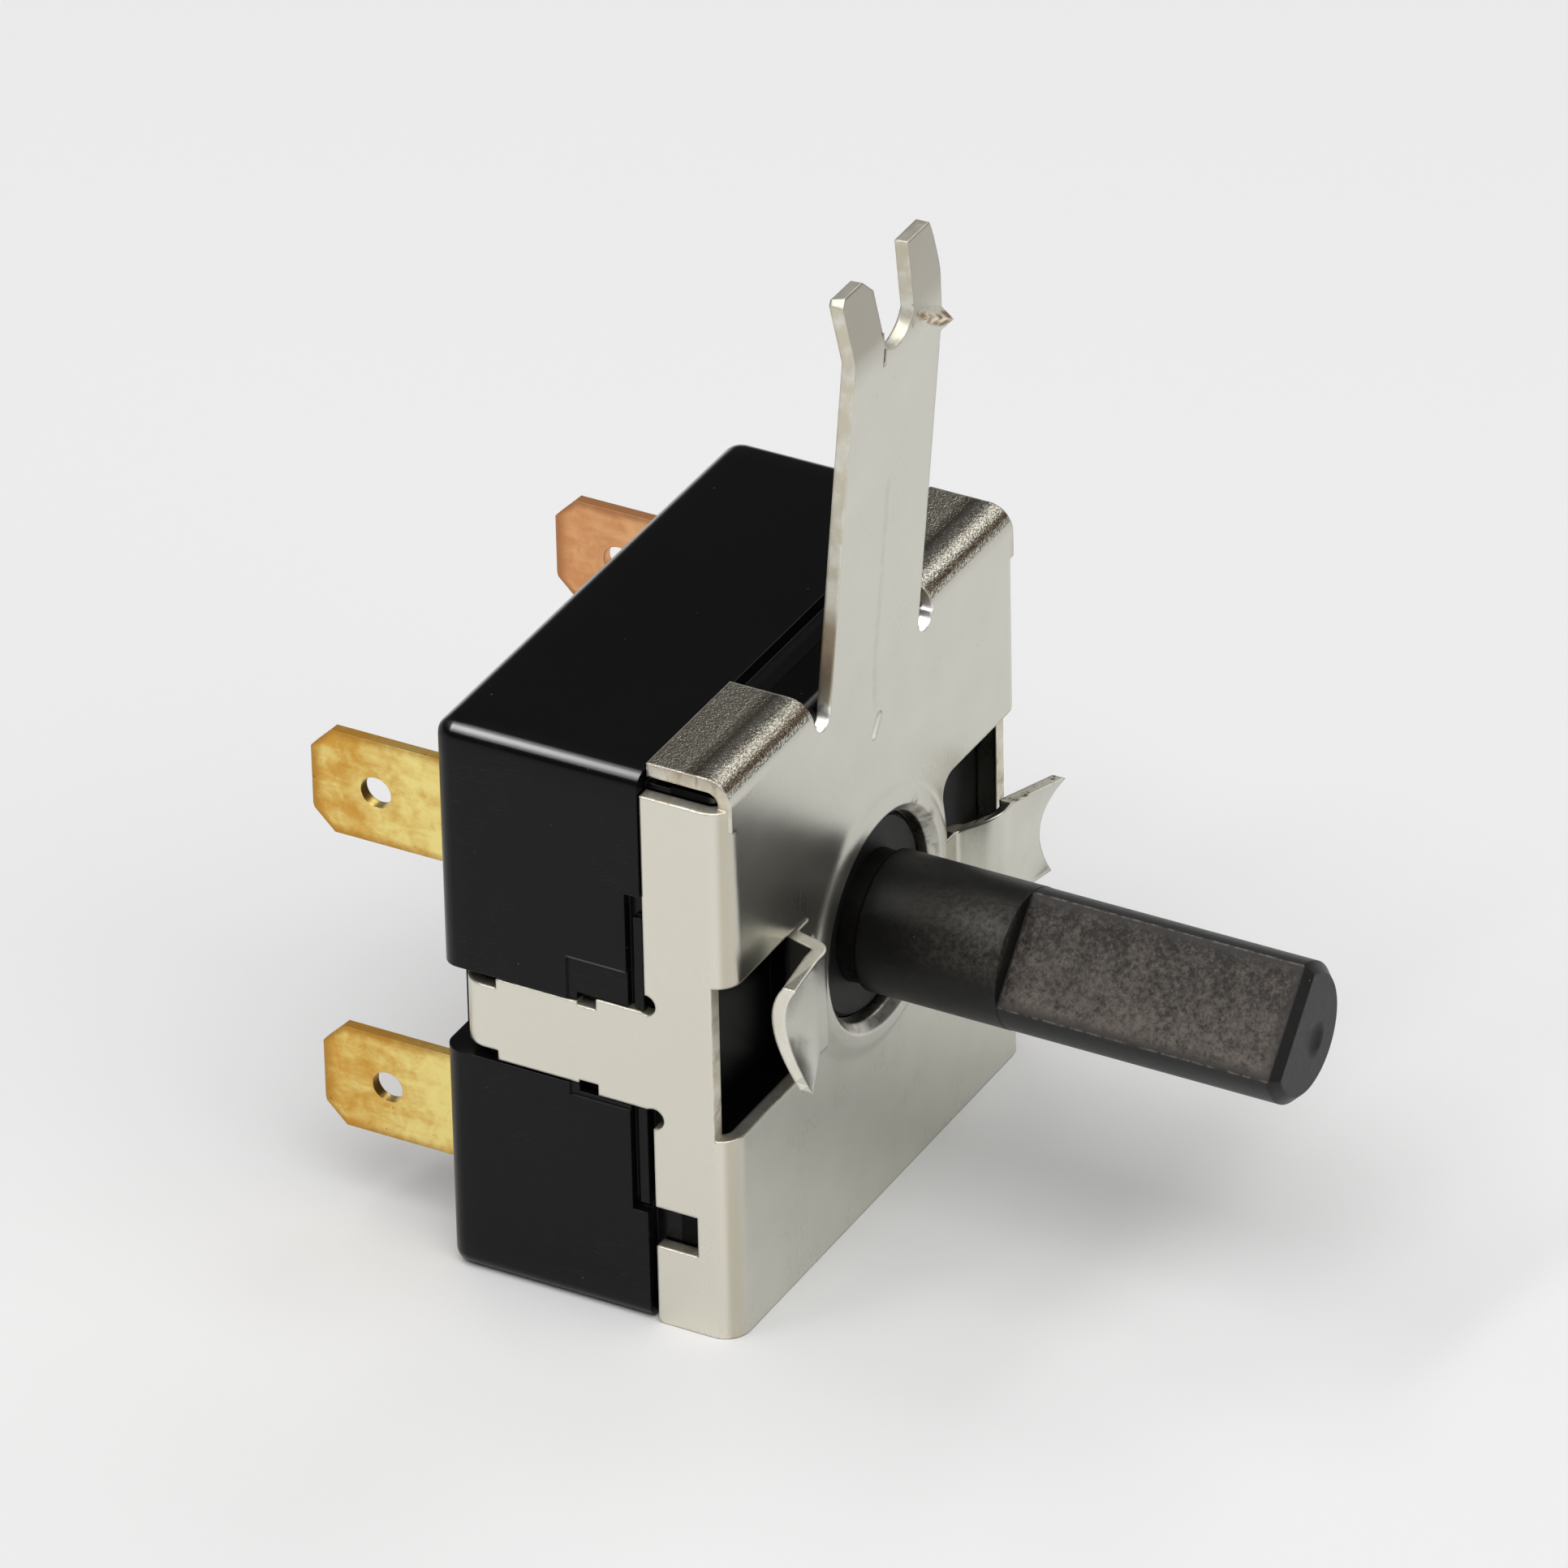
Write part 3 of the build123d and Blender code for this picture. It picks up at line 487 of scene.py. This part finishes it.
RECIPES = {
    "bracket_steel": (nickel_steel,),
    "case_plastic": (glossy_black, srgb(10, 10, 10), 0.19, 0.17),
    # Painted shade: the cover is a darker, duller copy of the case's black, for the shade behind
    # the bracket's windows.
    "cover_plastic": (glossy_black, srgb(5, 5, 5), 0.3, 0.07),
    "index_plastic": (moulded, srgb(191, 189, 178), 0.5, 0.5),
    "shaft_plastic": (satin_black,),
    "rotor_plastic": (moulded, srgb(20, 19, 18), 0.42, 0.22),
    "washer_steel": (plain_metal, srgb(200, 198, 190), 0.3),
    "spring_steel": (plain_metal, srgb(190, 188, 182), 0.28),
    "ball_steel": (plain_metal, srgb(215, 214, 210), 0.12),
    "terminal_brass": (tarnished, srgb(244, 225, 142), srgb(214, 156, 58), srgb(150, 108, 50),
                       srgb(180, 132, 62)),
    "terminal_copper": (tarnished, srgb(240, 186, 134), srgb(222, 156, 104), srgb(112, 74, 50),
                        srgb(180, 112, 58)),
    "contact_brass": (plain_metal, srgb(225, 196, 120), 0.3),
}
FINISHES = {name: make(name, *tones) for name, (make, *tones) in RECIPES.items()}


# ---------------------------------------------------------------- pieces
def dressed(node):
    """A merged copy of a CAD node, shaded smooth across its bends; it stands for the node."""
    mesh = bpy.data.meshes.new(node + "_dressed")
    work = bmesh.new()
    work.from_mesh(frame["nodes"][node].data)
    bmesh.ops.remove_doubles(work, verts=work.verts, dist=MERGE)
    bmesh.ops.dissolve_degenerate(work, edges=work.edges, dist=SLIVER)
    for edge in work.edges:
        edge.smooth = len(edge.link_faces) == 2 and edge.calc_face_angle(0) < SMOOTH_BELOW
    for face in work.faces:
        face.smooth = True
    normals = corner_normals(work)
    work.to_mesh(mesh)
    work.free()
    mesh.normals_split_custom_set(normals)
    piece = bpy.data.objects.new(node + "_dressed", mesh)
    bpy.context.scene.collection.objects.link(piece)
    mesh.materials.append(FINISHES[SLOT_OF[node]])
    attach(piece, BODY_OF[node])
    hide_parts(node)
    SLOT_OF[node]
    return piece


def flats(work):
    """The mesh's faces in groups, each a flat: what can be reached over edges with no bend."""
    seen = set()
    for first in work.faces:
        if first.index in seen:
            continue
        flat, waiting = [], [first]
        seen.add(first.index)
        while waiting:
            face = waiting.pop()
            flat.append(face)
            for edge in face.edges:
                for other in edge.link_faces:
                    if other.index not in seen and edge.calc_face_angle(pi) < FLAT_BELOW:
                        seen.add(other.index)
                        waiting.append(other)
        yield flat


def corner_normals(work):
    """A normal for each corner: the mean of the faces round it, by (area of the flat each is in)^2.

    Only faces that meet the corner's own face at less than SMOOTH_BELOW count.
    """
    work.faces.ensure_lookup_table()
    work.faces.index_update()
    weights = [0.0] * len(work.faces)
    for flat in flats(work):
        area = sum(face.calc_area() for face in flat) / MM ** 2
        for face in flat:
            weights[face.index] = max(area, 1e-6) ** 2
    normals = []
    for face in work.faces:
        for corner in face.loops:
            total = sum((other.normal * weights[other.index] for other in corner.vert.link_faces
                         if other.normal.dot(face.normal) > cos(SMOOTH_BELOW)), Vector())
            normals.append(total.normalized() if total.length > 0 else face.normal.copy())
    return normals


def mark_cut_edges(piece):
    """Store 1 on each cut edge of the sheet and 0 elsewhere: a face more than half of which has
    over THICK of metal behind it, measured by a ray straight in from each triangle's middle.
    """
    mesh = piece.data
    mesh.calc_loop_triangles()
    count, faces = len(mesh.loop_triangles), len(mesh.polygons)
    corners, owner = np.empty(count * 3, int), np.empty(count, int)
    places, areas = np.empty(len(mesh.vertices) * 3), np.empty(count)
    mesh.loop_triangles.foreach_get("vertices", corners)
    mesh.loop_triangles.foreach_get("polygon_index", owner)
    mesh.loop_triangles.foreach_get("area", areas)
    mesh.vertices.foreach_get("co", places)
    places, corners = places.reshape(-1, 3), corners.reshape(-1, 3)
    first, second, third = (places[corners[:, place]] for place in range(3))
    centres = places[corners].mean(1)
    normals = np.cross(second - first, third - first)
    normals /= np.maximum(np.linalg.norm(normals, axis=1, keepdims=True), TINY)
    tree = BVHTree.FromPolygons(places.tolist(), corners.tolist())
    starts = centres - normals * 0.02 * MM
    depths = np.array([tree.ray_cast(Vector(start), Vector(-normal))[3] or 1.0
                       for start, normal in zip(starts, normals)])
    beside_collar = np.hypot(centres[:, 0], centres[:, 2]) > COLLAR
    thick = areas * (depths > THICK) * beside_collar
    share = np.bincount(owner, thick, faces) / np.maximum(np.bincount(owner, areas, faces), TINY)
    cut = mesh.attributes.new("cut_edge", "FLOAT", "FACE")
    cut.data.foreach_set("value", (share > 0.5).astype(float))


def mark_rounding(piece):
    """Store on each vertex how much gloss its rounding holds: the mean over its corners of
    exp(-((t - GLOSSY_TILT) / TILT_SPREAD)^2), t a face's tilt from level; level faces have none.
    """
    mesh = piece.data
    normals, counts = np.empty(len(mesh.polygons) * 3), np.empty(len(mesh.polygons), int)
    ends = np.empty(len(mesh.loops), int)
    mesh.polygons.foreach_get("normal", normals)
    mesh.polygons.foreach_get("loop_total", counts)
    mesh.loops.foreach_get("vertex_index", ends)
    up = np.abs(normals.reshape(-1, 3)[:, 2])
    tilt = np.degrees(np.arccos(np.minimum(up, 1.0)))
    gloss = np.exp(-((tilt - GLOSSY_TILT) / TILT_SPREAD) ** 2) * (up < 0.999)
    points = len(mesh.vertices)
    corners = np.maximum(np.bincount(ends, minlength=points), 1)
    mean = np.bincount(ends, np.repeat(gloss, counts), points) / corners
    mesh.attributes.new("rounding", "FLOAT", "POINT").data.foreach_set("value", mean)


MARKED = {"mounting_bracket": mark_cut_edges, "housing": mark_rounding,
          "front_cover": mark_rounding}
DRESSED = (*MARKED, "shaft", "terminal_upper_left", "terminal_lower_left", "terminal_upper_right",
           "terminal_lower_right")
for node_name, node_object in frame["nodes"].items():
    if node_name in DRESSED:
        dressed_piece = dressed(node_name)
        if node_name in MARKED:
            MARKED[node_name](dressed_piece)
    else:
        node_object.data.materials.clear()
        node_object.data.materials.append(FINISHES[SLOT_OF[node_name]])


# ---------------------------------------------------------------- floor, light and camera
def floor():
    """A wide pale floor under the case, its far reaches as pale to the eye as the room beyond."""
    half, level = 3.0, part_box("housing")[0].z - 0.01 * MM
    mesh = bpy.data.meshes.new("floor")
    mesh.from_pydata([(-half, -half, level), (half, -half, level), (half, half, level),
                      (-half, half, level)], [], [(0, 1, 2, 3)])
    piece = bpy.data.objects.new("floor", mesh)
    bpy.context.scene.collection.objects.link(piece)
    f = Finish("floor_paper")
    x, y, _ = f.axes(1.0)
    far = (x * x + y * y).step(0.06, 0.6) * f.seen()
    paper, glow = f.mix(far, srgb(236, 236, 236), BLACK), f.mix(far, BLACK, PALE)
    mesh.materials.append(f.surface(Base_Color=paper, Emission_Color=glow, Emission_Strength=1.0,
                                    Roughness=0.6, Specular_IOR_Level=0.3))


def room():
    """Soft light from above over a dim band, and a pale horizon for the eye, also mirrored."""
    world = bpy.data.worlds.new("room")
    bpy.context.scene.world = world
    world.use_nodes = True
    f = Nodes(world.node_tree, "Generated")
    up = f.node("ShaderNodeSeparateXYZ", None, {0: f.place})[2]
    greys = ((0.0, 0.12), (0.08, 0.08), (0.62, 0.09), (0.80, 0.3), (1.0, 0.4))
    stops = [(height, (grey,) * 3) for height, grey in greys]
    sky = f.node("ShaderNodeValToRGB", {"stops": stops}, {0: up})[0]
    horizon = (1 - abs(up).step(0.08, 0.16)) * f.seen()
    values = {"Color": f.mix(horizon, sky, PALE), "Strength": 1.0}
    background = f.node("ShaderNodeBackground", None, values)
    f.node("ShaderNodeOutputWorld", None, {"Surface": background[0]})


def lamp(name, direction, width, depth, radiance):
    """A soft light that faces the object; its width runs round the shaft's axis."""
    data = bpy.data.lights.new(name, "AREA")
    data.shape, data.size, data.size_y = "RECTANGLE", width, depth
    data.energy = radiance * pi * width * depth
    item = bpy.data.objects.new(name, data)
    bpy.context.scene.collection.objects.link(item)
    way = Vector(direction).normalized()
    along = Vector((way.z, 0, -way.x)).normalized()
    turn = Matrix((along, way.cross(along), way)).transposed().to_4x4()
    item.matrix_world = Matrix.Translation(way * LAMP_DISTANCE) @ turn


def camera():
    """The camera, turned about its own axis by roll and moved in its own plane by aside, raised."""
    azimuth, elevation, roll = radians(-60.878), radians(31.924), radians(-1.256)
    distance, aside, raised = 558.59 * MM, -3.837 * MM, 5.384 * MM
    back = Vector((sin(azimuth) * cos(elevation), -cos(azimuth) * cos(elevation), sin(elevation)))
    level = Vector((cos(azimuth), sin(azimuth), 0))
    above = back.cross(level)
    right = cos(roll) * level + sin(roll) * above
    up = -sin(roll) * level + cos(roll) * above
    data = bpy.data.cameras.new("camera")
    data.sensor_width, data.lens = 36.0, 317.26
    data.clip_start, data.clip_end = 0.02, 20.0
    item = bpy.data.objects.new("camera", data)
    bpy.context.scene.collection.objects.link(item)
    turn = Matrix((right, up, back)).transposed().to_4x4()
    item.matrix_world = Matrix.Translation(distance * back + aside * right + raised * up) @ turn
    bpy.context.scene.camera = item


floor()
for place, (lean, radiance) in enumerate(STRIPLIGHTS):
    aside, above = STRIP_ABOVE * sin(radians(lean)), STRIP_ABOVE * cos(radians(lean))
    lamp(f"striplight_{place}", (aside, STRIP_BEHIND, above), 0.55, 0.15, radiance)
for name, settings in SOFTBOXES.items():
    lamp(name, *settings)
room()
camera()
bpy.context.scene.view_settings.view_transform = "Standard"
